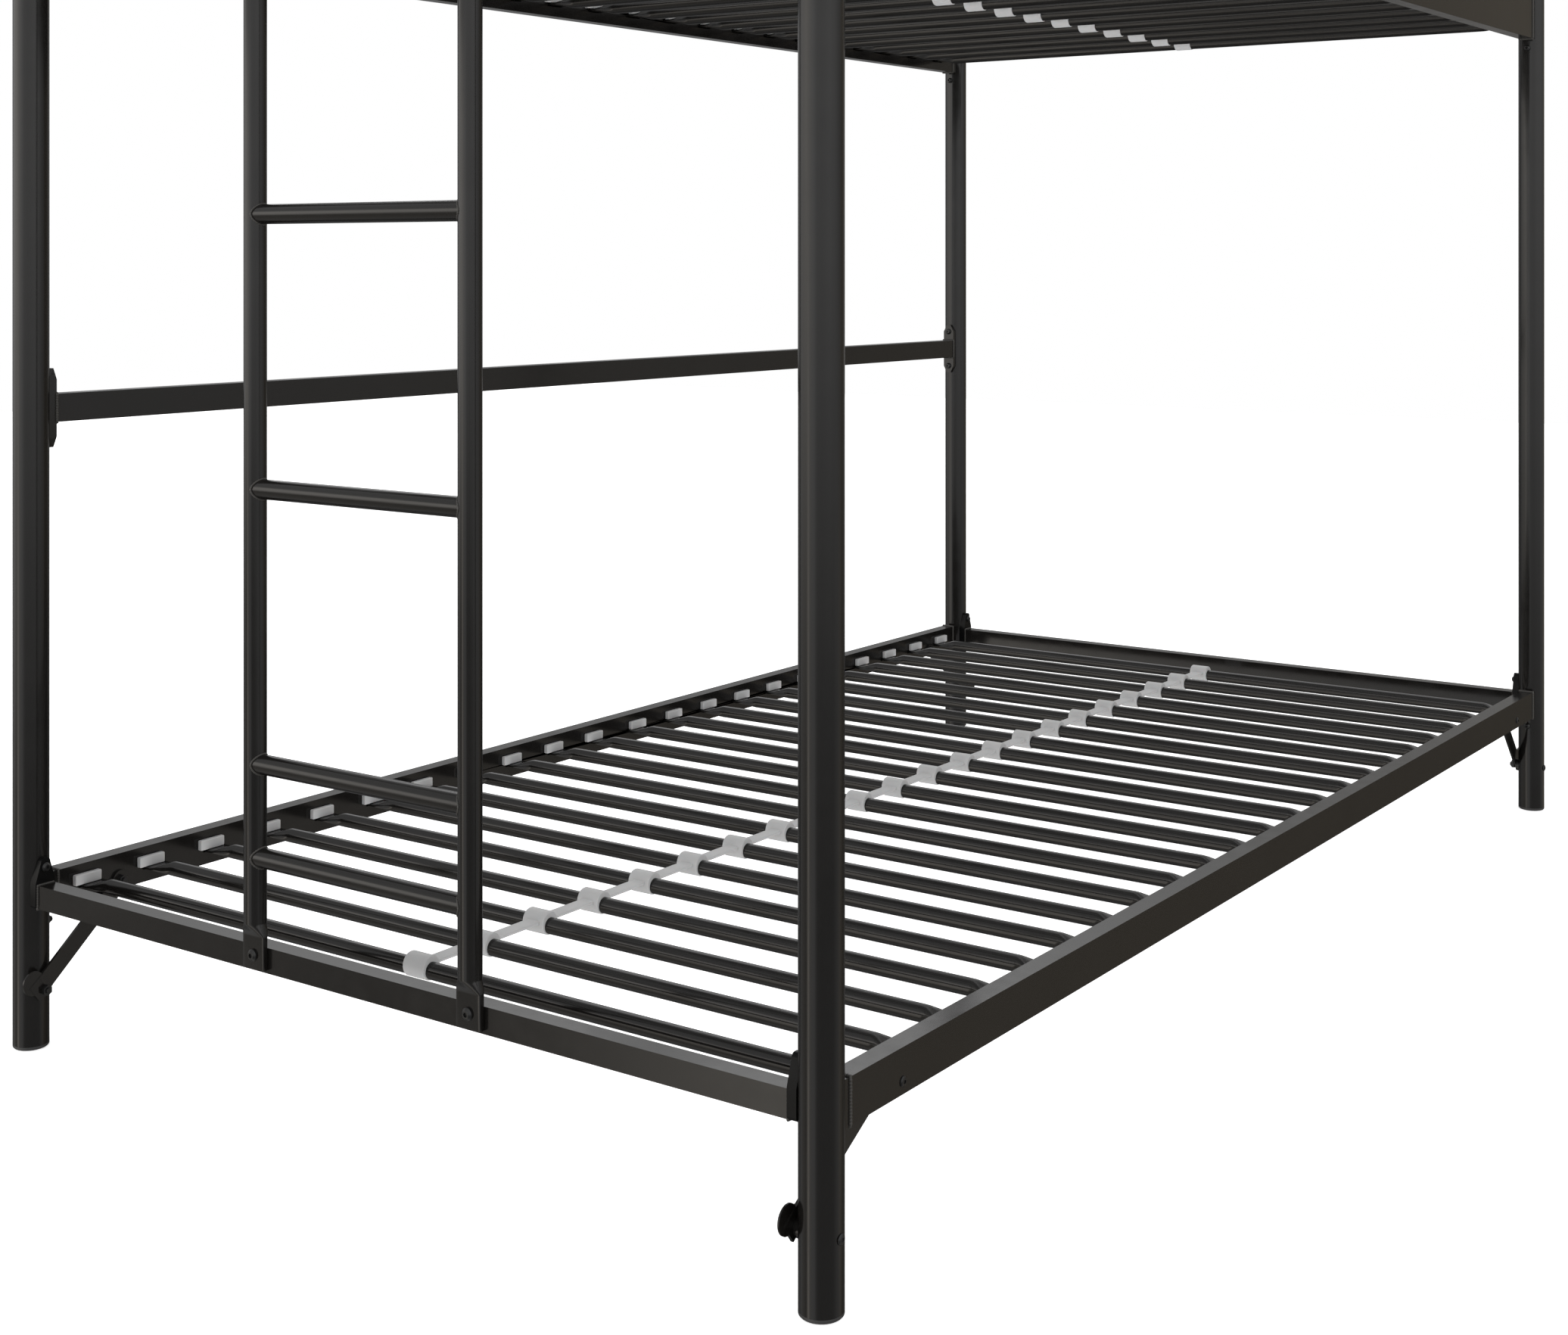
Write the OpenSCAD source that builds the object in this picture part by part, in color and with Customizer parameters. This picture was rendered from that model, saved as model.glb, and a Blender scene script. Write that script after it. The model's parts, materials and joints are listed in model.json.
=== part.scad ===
// Twin-over-twin metal bunk bed with a straight ladder at the foot end.
// X runs across the bed (+X is the room side), Y along it (-Y is the foot end with the ladder),
// Z is up. The origin is on the floor, midway between the four posts.

/* [Frame] */
// Distance between the post centres across the bed
post_span_x = 1033; // [900:1:1250]
// Distance between the post centres along the bed
post_span_y = 1960; // [1900:1:2050]
// Overall height to the top of the post caps
bed_h = 1650; // [1600:1:1750]
// Outer diameter of the corner posts
post_d = 38; // [36:1:42]
// Height at which the lower and upper post sections meet
post_joint_z = 1300; // [1280:1:1320]
// Wall thickness of every tube
tube_wall = 1.2; // [1:0.1:2]

/* [Decks] */
// Height of the underside of the lower side rails
lower_rail_z = 145; // [130:1:200]
// Rise from the lower deck to the upper deck
deck_rise = 1045; // [1000:1:1060]
// Width of the side rail and end rail tubes
rail_w = 20; // [18:1:25]
// Height of the lower side rail tubes
lower_side_rail_h = 40; // [35:1:45]
// Height of the upper side rail tubes
upper_side_rail_h = 60; // [55:1:70]
// Height of the end rail tubes
end_rail_h = 25; // [22:1:28]
// Underside of the lower end rails above the lower side rails' underside
lower_end_rail_dz = 9; // [5:1:12]
// Underside of the upper end rails above the upper side rails' underside
upper_end_rail_dz = 25; // [15:1:28]

/* [Slats] */
// Number of slats in each deck
slat_count = 22; // [14:1:24]
// Outer diameter of a slat
slat_d = 17; // [16:1:20]
// Distance from the centre of the bed to the first slat, towards the foot
first_slat_y = 911; // [880:1:920]
// Distance from the centre of the bed to the last slat, towards the head
last_slat_y = 898.5; // [880:0.5:920]
// Sideways place of the lower deck's row of clips
lower_clip_x = 1; // [-60:1:60]
// Sideways place of the upper deck's row of clips
upper_clip_x = -28; // [-60:1:60]

/* [Ladder] */
// Distance between the stile centres
stile_span = 286; // [260:1:340]
// Outer diameter of a stile
stile_d = 22.5; // [20:0.5:25]
// Outer diameter of a rung
rung_d = 19.5; // [16:0.5:20]
// Height of the lowest rung
low_rung_z = 267; // [250:1:280]
// Height of the second rung
second_rung_z = 358; // [340:1:380]
// Distance between the rungs above it
rung_pitch = 268; // [250:1:275]

/* [Guards] */
// Height of the top face of the guards' top rails
guard_top_z = 1631; // [1600:1:1635]
// Clear width of the opening above the ladder
access_w = 398; // [350:1:450]

/* [Hidden] */
$fn = 48;
eps = 0.5;

post_x = post_span_x / 2;
post_y = post_span_y / 2;
post_r = post_d / 2;
bore_r = post_r - tube_wall;
glide_h = 4;
glide_bevel = 1.5;
plug_play = 0.2;
cap_bevel = 6;
cap_h = 6;
plug_len = 18;
sleeve_len = 56;

upper_rail_z = lower_rail_z + deck_rise;
deck_rails = [[lower_rail_z, lower_side_rail_h], [upper_rail_z, upper_side_rail_h]];
lower_end_z = lower_rail_z + lower_end_rail_dz;
upper_end_z = upper_rail_z + upper_end_rail_dz;
end_rails = [lower_end_z, upper_end_z];

// Side rails hook on at the posts' faces along Y, end rails bolt on at the faces along X.
plate_t = 8;
side_rail_half = post_y - post_r - plate_t;
hook_w = 4;
hook_h = 12;
hook_reach = 7;
hook_inset = 7;
bracket_t = 6.5;
bracket_w = 25;
bracket_wrap = 3;
bracket_h = 53;
bracket_ear_w = 12;
bracket_ear_r = 5;
bracket_shoulder = 27;
bracket_heel_r = 4;
bracket_bolt_drop = 10;
end_rail_half = post_x - post_r - bracket_t;

bolt_r = 3;
bolt_hole_r = 3.2;
head_r = 5;
head_h = 3.5;
ladder_head_r = 6;
low_head_r = 4.7;
low_head_h = 2;
into_post = 7;
nut_af = 10;
nut_h = 5;
stud_r = 4.5;
stud_h = 6.5;
stud_drop = 14;

slat_wall = 0.8;
slat_r = slat_d / 2;
slat_rise = 18;
slat_tube_half = post_x - rail_w / 2 - 26;
slat_pitch = (first_slat_y + last_slat_y) / (slat_count - 1);
blade_w = 30;
blade_t = 4;
blade_top = 18.5;
blade_insert = 6;
slot_clear = 0.5;
cap_w = 34;
cap_tall = 11.5;
cap_proud = 6.5;
cap_shift = 6.5;
lower_clip_l = 28;
upper_clip_l = 28;
clip_r = 12;
clip_lift = 2.5;
strap_w = 16;
strap_t = 3;
strap_lift = 4;
strap_bite = 1;

brace_w = 20;
brace_head_r = 10.7;
brace_t = 3;
brace_leaf_r = 13;
brace_leaf_t = 1.6;
brace_leaf_inset = 0.4;
brace_lap = 2.3;
brace_leaf_dy = -14;
brace_leaf_z = 75;
brace_lift_low = 8;
brace_lift_top = -1.7;
brace_overrun = 17;
brace_rail_dy = 108;
brace_rail_dz = 11;
brace_post_z = 65;
brace_gap = 3;
saddle_r = 9;

stretcher_h = 31;
stretcher_z = 688.5;
stretcher_plate_h = 86;
stretcher_plate_t = 6.5;
stretcher_bolt_dz = 31;
plate_cut = 6;
plate_wrap = 2.8;

stile_x = stile_span / 2;
stile_r = stile_d / 2;
stile_tab_w = 26;
stile_tab_t = 6;
stile_tab_over = 12;
stile_tab_foot = 3;
ladder_bolt_dz = 17;
stile_y = -(post_y + rail_w / 2 + stile_tab_t / 2);
ladder_bolts_z = [lower_end_z + ladder_bolt_dz, upper_end_z + end_rail_h - ladder_bolt_dz];
rungs = [low_rung_z, for (i = [0:3]) second_rung_z + i * rung_pitch];

guard_bar_d = 19;
guard_rail_h = 31;
guard_bars = [guard_top_z - 206, guard_top_z - 118];
guard_bolts_z = [guard_top_z - 162, guard_top_z - 75];
guard_plate_z = guard_top_z - 223;
guard_plate_h = 230;
guard_plate_t = 6.5;
spindle_d = 16;
spindle_y = 330;
upright_x = access_w / 2 + stile_r;
upright_cap_h = 3;
side_guard_half = post_y - post_r - guard_plate_t;
end_guard_half = post_x - post_r - guard_plate_t;

steel = [0.13, 0.13, 0.135];
plastic = [0.72, 0.72, 0.72];
black_plastic = [0.05, 0.05, 0.05];
hardware = [0.1, 0.1, 0.1];

// ---------- helpers ----------

// Moves a piece drawn for the foot corner on the room side to the corner (sx, sy).
module to_corner(sx, sy)
    mirror([sx < 0 ? 1 : 0, 0, 0])
        mirror([0, sy > 0 ? 1 : 0, 0])
            children();

module each_corner()
    for (sx = [1, -1], sy = [-1, 1])
        to_corner(sx, sy) children();

// Turns +Z into +X, -X, +Y or -Y.
module along_x(dir = 1) rotate([0, 90 * dir, 0]) children();
module along_y(dir = 1) rotate([-90 * dir, 0, 0]) children();

module round_tube(d, wall, h)
    difference() {
        cylinder(d = d, h = h);
        translate([0, 0, -eps]) cylinder(d = d - 2 * wall, h = h + 2 * eps);
    }

// Rectangular tube along X, its underside at z = 0.
module box_tube_x(half, w, h)
    difference() {
        translate([-half, -w / 2, 0]) cube([2 * half, w, h]);
        translate([-half - eps, -w / 2 + tube_wall, tube_wall])
            cube([2 * half + 2 * eps, w - 2 * tube_wall, h - 2 * tube_wall]);
    }

module box_tube_y(half, w, h) rotate([0, 0, 90]) box_tube_x(half, w, h);

// Round-headed bolt: the head stands on z = 0 and the shank hangs below it.
module bolt(head_r, head_h, shank) {
    difference() {
        union() {
            cylinder(r = head_r, h = head_h * 0.4);
            translate([0, 0, head_h * 0.4]) cylinder(r1 = head_r, r2 = head_r * 0.6, h = head_h * 0.6);
        }
        translate([0, 0, head_h * 0.5]) cylinder(r = head_r * 0.4, h = head_h, $fn = 6);
    }
    translate([0, 0, -shank]) cylinder(r = bolt_r, h = shank);
}

module nut()
    difference() {
        cylinder(r = nut_af / sqrt(3), h = nut_h, $fn = 6);
        translate([0, 0, -eps]) cylinder(r = bolt_r, h = nut_h + 2 * eps);
    }

// The space that a post fills, drawn for the foot corner on the room side.
module post_space() translate([post_x, -post_y, 0]) cylinder(r = post_r, h = bed_h);

// ---------- posts ----------

// Undersides of the two hooks of a side rail, given its underside and height.
function hooks_z(rail) = [rail[0] + hook_inset, rail[0] + rail[1] - hook_inset - hook_h];

module hook_slots(rail)
    for (z = hooks_z(rail))
        translate([post_x - hook_w / 2 - slot_clear, -post_y, z - hook_w - slot_clear])
            cube([hook_w + 2 * slot_clear, post_r + eps, hook_h + hook_w + 2 * slot_clear]);

function bracket_bolt_z(end_z) = end_z + bracket_h - bracket_bolt_drop;

module lower_post(wall_side)
    color(steel) difference() {
        translate([post_x, -post_y, glide_h]) round_tube(post_d, tube_wall, post_joint_z - glide_h);
        for (rail = deck_rails) {
            hook_slots(rail);
            translate([post_x, -post_y, rail[0] - stud_drop]) along_y() cylinder(r = bolt_hole_r, h = post_d);
        }
        for (z = end_rails)
            translate([post_x, -post_y, bracket_bolt_z(z)]) along_x(-1) cylinder(r = bolt_hole_r, h = post_d);
        translate([0, -post_y, brace_post_z]) along_x() cylinder(r = bolt_hole_r, h = post_x + post_d);
        if (wall_side)
            for (s = [-1, 1])
                translate([post_x, -post_y, stretcher_z + s * stretcher_bolt_dz])
                    along_y() cylinder(r = bolt_hole_r, h = post_d);
    }

module upper_post()
    color(steel) difference() {
        translate([post_x, -post_y, post_joint_z])
            round_tube(post_d, tube_wall, bed_h - cap_h - post_joint_z);
        for (z = guard_bolts_z)
            translate([post_x, -post_y, z]) {
                along_y() cylinder(r = bolt_hole_r, h = post_d);
                along_x(-1) cylinder(r = bolt_hole_r, h = post_d);
            }
    }

module post_joint_sleeves()
    color(steel) each_corner()
        translate([post_x, -post_y, post_joint_z - sleeve_len / 2])
            round_tube(2 * (bore_r - plug_play), tube_wall, sleeve_len);

module foot_plugs()
    color(black_plastic) each_corner()
        translate([post_x, -post_y, 0]) {
            cylinder(r1 = post_r - glide_bevel, r2 = post_r, h = glide_bevel);
            translate([0, 0, glide_bevel]) cylinder(r = post_r, h = glide_h - glide_bevel);
            translate([0, 0, glide_h]) cylinder(r = bore_r - plug_play, h = plug_len);
        }

module post_caps()
    color(black_plastic) each_corner()
        translate([post_x, -post_y, bed_h - cap_h]) {
            cylinder(r = post_r, h = cap_h / 2);
            translate([0, 0, cap_h / 2]) cylinder(r1 = post_r, r2 = post_r - cap_bevel, h = cap_h / 2);
            translate([0, 0, -plug_len]) cylinder(r = bore_r - plug_play, h = plug_len);
        }

// ---------- side rails ----------

module side_rail(rail, braced)
    color(steel) translate([post_x, 0, rail[0]])
        difference() {
            box_tube_y(side_rail_half, rail_w, rail[1]);
            for (i = [0:slat_count - 1])
                translate([-rail_w / 2 - eps, slat_y(i) - blade_w / 2 - slot_clear, blade_top - blade_t - slot_clear])
                    cube([tube_wall + 2 * eps, blade_w + 2 * slot_clear, blade_t + 2 * slot_clear]);
            if (braced)
                for (s = [-1, 1])
                    translate([-rail_w, s * (post_y - brace_rail_dy), brace_rail_dz])
                        along_x() cylinder(r = bolt_hole_r, h = 2 * rail_w);
        }

// A saddle that hugs the post, with two hooks that drop into the post's slots.
module hook_plate(rail) {
    difference() {
        translate([post_x - rail_w / 2, -post_y + post_r - plate_wrap, rail[0]])
            cube([rail_w, plate_t + plate_wrap, rail[1]]);
        post_space();
    }
    for (z = hooks_z(rail)) {
        translate([post_x - hook_w / 2, -post_y + post_r - hook_reach, z])
            cube([hook_w, hook_reach + plate_t / 2, hook_h]);
        translate([post_x - hook_w / 2, -post_y + post_r - hook_reach, z - hook_w])
            cube([hook_w, hook_reach - tube_wall - 1, hook_h]);
    }
}

module side_rail_hook_plates()
    color(steel) each_corner() for (rail = deck_rails) hook_plate(rail);

// Round-headed studs under the side rails, which keep the hooks from lifting out.
module rail_lock_studs()
    color(hardware) each_corner() for (rail = deck_rails)
        translate([post_x, -post_y + post_r, rail[0] - stud_drop]) along_y() bolt(stud_r, stud_h, into_post);

// ---------- end rails ----------

module end_rail(end_z)
    color(steel) translate([0, -post_y, end_z]) box_tube_x(end_rail_half, rail_w, end_rail_h);

// The foot end rails are drilled for the ladder's bolts.
module foot_rail(end_z, bolt_z)
    color(steel) difference() {
        end_rail(end_z);
        for (s = [-1, 1])
            translate([s * stile_x, -post_y - rail_w, bolt_z]) along_y() cylinder(r = bolt_hole_r, h = rail_w);
    }

// Outline of an end bracket: a foot wider than the rail's top and an ear with round corners.
module bracket_outline() {
    ear = bracket_ear_w / 2;
    half = bracket_w / 2;
    polygon([
        [bracket_heel_r - half, 0], [half - bracket_heel_r, 0], [half, bracket_heel_r],
        [half, bracket_shoulder], [ear, bracket_h - bracket_ear_r], [ear - bracket_ear_r, bracket_h],
        [bracket_ear_r - ear, bracket_h], [-ear, bracket_h - bracket_ear_r],
        [-half, bracket_shoulder], [-half, bracket_heel_r]
    ]);
    for (s = [-1, 1]) {
        translate([s * (ear - bracket_ear_r), bracket_h - bracket_ear_r]) circle(r = bracket_ear_r);
        translate([s * (half - bracket_heel_r), bracket_heel_r]) circle(r = bracket_heel_r);
    }
}

module end_bracket()
    difference() {
        translate([end_rail_half, -post_y, 0]) rotate([90, 0, 90])
            linear_extrude(height = bracket_t + bracket_wrap) bracket_outline();
        post_space();
        translate([end_rail_half - eps, -post_y, bracket_bolt_z(0)])
            along_x() cylinder(r = bolt_hole_r, h = bracket_t + bracket_wrap + 2 * eps);
    }

module end_rail_brackets()
    color(steel) each_corner() for (z = end_rails) translate([0, 0, z]) end_bracket();

module end_bracket_bolts()
    color(hardware) each_corner() for (z = end_rails)
        translate([end_rail_half, -post_y, bracket_bolt_z(z)]) along_x(-1) bolt(head_r, head_h, bracket_t + into_post);

// ---------- slats ----------

function slat_y(i) = -first_slat_y + i * slat_pitch;

// One slat: a round tube whose flattened ends enter the side rails' slots.
module slat() {
    translate([-slat_tube_half, 0, slat_rise]) along_x() round_tube(slat_d, slat_wall, 2 * slat_tube_half);
    for (s = [-1, 1])
        mirror([s < 0 ? 1 : 0, 0, 0])
            translate([slat_tube_half - blade_insert, -blade_w / 2, blade_top - blade_t])
                cube([post_x - rail_w / 2 - slat_tube_half + 2 * blade_insert, blade_w, blade_t]);
}

module slats(rail_z)
    color(steel) for (i = [0:slat_count - 1])
        translate([0, slat_y(i), rail_z]) slat();

// The caps sit off their slats' centres, towards the nearer end of the bed.
function cap_y(i) = slat_y(i) + (i < slat_count / 2 ? -cap_shift : cap_shift);

// Plastic caps that close the slots above the slats' flattened ends.
module slat_caps(rail_z)
    color(plastic) for (i = [0:slat_count - 1], s = [-1, 1])
        mirror([s < 0 ? 1 : 0, 0, 0])
            translate([post_x - rail_w / 2 - cap_proud, cap_y(i) - cap_w / 2, rail_z + blade_top])
                cube([cap_proud, cap_w, cap_tall]);

// A row of clips round the slats, with a flat strap from each clip to the next.
module centre_clips(x, length, rail_z)
    color(plastic) translate([x, 0, rail_z + slat_rise]) difference() {
        union() {
            for (i = [0:slat_count - 1])
                translate([-length / 2, slat_y(i), clip_lift]) along_x() cylinder(r = clip_r, h = length);
            for (i = [0:slat_count - 2])
                translate([-strap_w / 2, slat_y(i) + clip_r - strap_bite, strap_lift - strap_t / 2])
                    cube([strap_w, slat_pitch - 2 * (clip_r - strap_bite), strap_t]);
        }
        for (i = [0:slat_count - 1])
            translate([-length, slat_y(i), 0]) along_x() cylinder(r = slat_r, h = 2 * length);
    }

// ---------- corner braces ----------

// A flat strip from the side rail's inner face down to the post's inner face, where it has a round leaf.
module brace() {
    rail_bolt = [post_x - rail_w / 2 - brace_t, -post_y + brace_rail_dy, lower_rail_z + brace_rail_dz];
    post_bolt = [post_x - post_r - brace_gap - brace_t, -post_y, brace_post_z];
    top = rail_bolt + [0, 0, brace_lift_top];
    low = post_bolt + [0, 0, brace_lift_low];
    run = [top[1] - low[1], top[2] - low[2]];
    length = norm(run);
    slope = atan2(run[1], run[0]);
    // The strip leans across by the distance between the two faces.
    lean = atan2(top[0] - low[0], length);
    difference() {
        union() {
            translate(rail_bolt) along_x() cylinder(r = brace_head_r, h = brace_t);
            translate([low[0] + brace_leaf_inset, -post_y + brace_leaf_dy, brace_leaf_z])
                along_x() cylinder(r = brace_leaf_r, h = brace_leaf_t);
            translate(low) rotate([slope, 0, 0]) {
                rotate([0, 0, -lean]) translate([0, -brace_lap, -brace_w / 2])
                    cube([brace_t, length + brace_lap, brace_w]);
                translate([0, -brace_overrun, -brace_w / 2])
                    cube([brace_t, brace_overrun + 2 * brace_lap, brace_w]);
            }
        }
        for (spot = [rail_bolt, post_bolt])
            translate([spot[0] - brace_t, spot[1], spot[2]]) along_x() cylinder(r = bolt_hole_r, h = 4 * brace_t);
    }
}

module brace_at(sx, sy) color(steel) to_corner(sx, sy) brace();

// Curved washers between the braces and the round posts.
module brace_saddles()
    color(steel) each_corner() difference() {
        translate([post_x - post_r - brace_gap, -post_y, brace_post_z])
            along_x() cylinder(r = saddle_r, h = brace_gap + plate_wrap);
        post_space();
        translate([0, -post_y, brace_post_z]) along_x() cylinder(r = bolt_hole_r, h = post_x);
    }

module brace_rail_bolts()
    color(hardware) each_corner()
        translate([post_x + rail_w / 2, -post_y + brace_rail_dy, lower_rail_z + brace_rail_dz])
            along_x() bolt(low_head_r, low_head_h, rail_w + brace_t + nut_h + 2);

module brace_post_bolts()
    color(hardware) each_corner()
        translate([post_x + post_r, -post_y, brace_post_z])
            along_x() bolt(low_head_r, low_head_h, post_d + brace_gap + brace_t + nut_h + 2);

module brace_nuts()
    color(hardware) each_corner() {
        translate([post_x - rail_w / 2 - brace_t, -post_y + brace_rail_dy, lower_rail_z + brace_rail_dz])
            along_x(-1) nut();
        translate([post_x - post_r - brace_gap - brace_t, -post_y, brace_post_z]) along_x(-1) nut();
    }

// ---------- wall stretcher ----------

module wall_stretcher()
    color(steel) translate([-post_x, 0, stretcher_z - stretcher_h / 2])
        box_tube_y(post_y - post_r - stretcher_plate_t, rail_w, stretcher_h);

// Upright plate with its corners cut off, drawn in the X-Z plane.
module plate_outline(w, h, cut)
    polygon([
        [-w / 2 + cut, 0], [w / 2 - cut, 0], [w / 2, 2 * cut], [w / 2, h - 2 * cut],
        [w / 2 - cut, h], [-w / 2 + cut, h], [-w / 2, h - 2 * cut], [-w / 2, 2 * cut]
    ]);

module stretcher_end_plates()
    color(steel) for (sy = [-1, 1]) to_corner(-1, sy)
        difference() {
            translate([post_x, -post_y + post_r + stretcher_plate_t, stretcher_z - stretcher_plate_h / 2])
                rotate([90, 0, 0]) linear_extrude(height = stretcher_plate_t + plate_wrap)
                    plate_outline(rail_w, stretcher_plate_h, plate_cut);
            post_space();
            for (s = [-1, 1])
                translate([post_x, -post_y, stretcher_z + s * stretcher_bolt_dz])
                    along_y() cylinder(r = bolt_hole_r, h = 2 * post_d);
        }

module stretcher_bolts()
    color(hardware) for (sy = [-1, 1], s = [-1, 1]) to_corner(-1, sy)
        translate([post_x, -post_y + post_r + stretcher_plate_t, stretcher_z + s * stretcher_bolt_dz])
            along_y() bolt(head_r, head_h, stretcher_plate_t + into_post);

// ---------- ladder ----------

// A stile whose flattened ends lie on the foot rails' front faces.
module stile() {
    tube_low = lower_end_z + end_rail_h + stile_tab_over;
    tube_high = upper_end_z - stile_tab_over;
    tab_h = end_rail_h - stile_tab_foot + 2 * stile_tab_over;
    difference() {
        union() {
            translate([0, 0, tube_low]) round_tube(stile_d, tube_wall, tube_high - tube_low);
            for (z = [lower_end_z + stile_tab_foot, tube_high - stile_tab_over])
                translate([-stile_tab_w / 2, -stile_tab_t / 2, z]) cube([stile_tab_w, stile_tab_t, tab_h]);
        }
        for (z = ladder_bolts_z)
            translate([0, -stile_tab_t, z]) along_y() cylinder(r = bolt_hole_r, h = 2 * stile_tab_t);
    }
}

module ladder_stile(s) color(steel) translate([s * stile_x, stile_y, 0]) stile();

// Rungs with ends coped round the stiles.
module ladder_rungs()
    color(steel) difference() {
        for (z = rungs)
            translate([-stile_x, stile_y, z]) along_x() round_tube(rung_d, tube_wall, stile_span);
        for (s = [-1, 1])
            translate([s * stile_x, stile_y, 0]) cylinder(r = stile_r, h = bed_h);
    }

module ladder_bolts()
    color(hardware) for (s = [-1, 1], z = ladder_bolts_z)
        translate([s * stile_x, stile_y - stile_tab_t / 2, z])
            along_y(-1) bolt(ladder_head_r, head_h, stile_tab_t + rail_w / 2);

// ---------- guards ----------

module guard_bar_space_x() for (z = guard_bars)
    translate([-post_x, 0, z]) along_x() cylinder(d = guard_bar_d, h = post_span_x);

module side_guard_top_rail(s)
    color(steel) translate([s * post_x, 0, guard_top_z - guard_rail_h])
        box_tube_y(side_guard_half, rail_w, guard_rail_h);

module side_guard_bars(s)
    color(steel) for (z = guard_bars)
        translate([s * post_x, -side_guard_half, z]) along_y()
            round_tube(guard_bar_d, tube_wall, 2 * side_guard_half);

module side_guard_spindles(s)
    color(steel) difference() {
        for (sy = [-1, 1])
            translate([s * post_x, sy * spindle_y, guard_bars[0]])
                round_tube(spindle_d, tube_wall, guard_top_z - guard_rail_h - guard_bars[0]);
        for (z = guard_bars)
            translate([s * post_x, -side_guard_half, z]) along_y()
                cylinder(d = guard_bar_d, h = 2 * side_guard_half);
    }

module head_guard_top_rail()
    color(steel) translate([0, post_y, guard_top_z - guard_rail_h])
        box_tube_x(end_guard_half, rail_w, guard_rail_h);

module head_guard_bars()
    color(steel) for (z = guard_bars)
        translate([-end_guard_half, post_y, z]) along_x()
            round_tube(guard_bar_d, tube_wall, 2 * end_guard_half);

module head_guard_spindle()
    color(steel) difference() {
        translate([0, post_y, guard_bars[0]])
            round_tube(spindle_d, tube_wall, guard_top_z - guard_rail_h - guard_bars[0]);
        translate([0, post_y, 0]) guard_bar_space_x();
    }

// The foot guard is in two halves, one each side of the opening above the ladder.
module foot_guard_top_rails()
    color(steel) for (s = [-1, 1])
        translate([s * (upright_x + stile_r + end_guard_half) / 2, -post_y, guard_top_z - guard_rail_h])
            box_tube_x((end_guard_half - upright_x - stile_r) / 2, rail_w, guard_rail_h);

module foot_guard_bars()
    color(steel) difference() {
        for (s = [-1, 1], z = guard_bars)
            mirror([s < 0 ? 1 : 0, 0, 0])
                translate([upright_x, -post_y, z]) along_x()
                    round_tube(guard_bar_d, tube_wall, end_guard_half - upright_x);
        for (s = [-1, 1])
            translate([s * upright_x, -post_y, 0]) cylinder(r = stile_r, h = bed_h);
    }

// The uprights stand on the upper foot rail.
module foot_guard_uprights()
    color(steel) for (s = [-1, 1])
        translate([s * upright_x, -post_y, upper_end_z + end_rail_h]) {
            height = guard_top_z - upper_end_z - end_rail_h;
            round_tube(stile_d, tube_wall, height);
            translate([0, 0, height]) cylinder(r1 = stile_r, r2 = stile_r - upright_cap_h, h = upright_cap_h);
        }

module side_guard_plate()
    difference() {
        translate([post_x, -post_y + post_r + guard_plate_t, guard_plate_z])
            rotate([90, 0, 0]) linear_extrude(height = guard_plate_t + plate_wrap)
                plate_outline(rail_w, guard_plate_h, plate_cut);
        post_space();
        for (z = guard_bolts_z)
            translate([post_x, -post_y, z]) along_y() cylinder(r = bolt_hole_r, h = 2 * post_d);
    }

module end_guard_plate()
    difference() {
        translate([post_x - post_r - guard_plate_t, -post_y, guard_plate_z])
            rotate([90, 0, 90]) linear_extrude(height = guard_plate_t + plate_wrap)
                plate_outline(rail_w, guard_plate_h, plate_cut);
        post_space();
        for (z = guard_bolts_z)
            translate([post_x, -post_y, z]) along_x(-1) cylinder(r = bolt_hole_r, h = 2 * post_d);
    }

module guard_end_plates()
    color(steel) each_corner() {
        side_guard_plate();
        end_guard_plate();
    }

module guard_bolts()
    color(hardware) each_corner() for (z = guard_bolts_z) {
        translate([post_x, -post_y + post_r + guard_plate_t, z]) along_y() bolt(head_r, head_h, guard_plate_t + into_post);
        translate([post_x - post_r - guard_plate_t, -post_y, z]) along_x(-1) bolt(head_r, head_h, guard_plate_t + into_post);
    }

// ---------- nodes ----------

to_corner(1, -1) lower_post(false);  // foot_room_post
to_corner(-1, -1) lower_post(true);  // foot_wall_post
to_corner(1, 1) lower_post(false);  // head_room_post
to_corner(-1, 1) lower_post(true);  // head_wall_post
to_corner(1, -1) upper_post();  // foot_room_upper_post
to_corner(-1, -1) upper_post();  // foot_wall_upper_post
to_corner(1, 1) upper_post();  // head_room_upper_post
to_corner(-1, 1) upper_post();  // head_wall_upper_post
post_joint_sleeves();
foot_plugs();
post_caps();
side_rail(deck_rails[0], true);  // lower_room_rail
mirror([1, 0, 0]) side_rail(deck_rails[0], true);  // lower_wall_rail
side_rail(deck_rails[1], false);  // upper_room_rail
mirror([1, 0, 0]) side_rail(deck_rails[1], false);  // upper_wall_rail
side_rail_hook_plates();
rail_lock_studs();
foot_rail(lower_end_z, ladder_bolts_z[0]);  // lower_foot_rail
mirror([0, 1, 0]) end_rail(lower_end_z);  // lower_head_rail
foot_rail(upper_end_z, ladder_bolts_z[1]);  // upper_foot_rail
mirror([0, 1, 0]) end_rail(upper_end_z);  // upper_head_rail
end_rail_brackets();
end_bracket_bolts();
slats(lower_rail_z);  // lower_slats
slats(upper_rail_z);  // upper_slats
slat_caps(lower_rail_z);  // lower_slat_caps
slat_caps(upper_rail_z);  // upper_slat_caps
centre_clips(lower_clip_x, lower_clip_l, lower_rail_z);  // lower_centre_clips
centre_clips(upper_clip_x, upper_clip_l, upper_rail_z);  // upper_centre_clips
brace_at(1, -1);  // foot_room_brace
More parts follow.
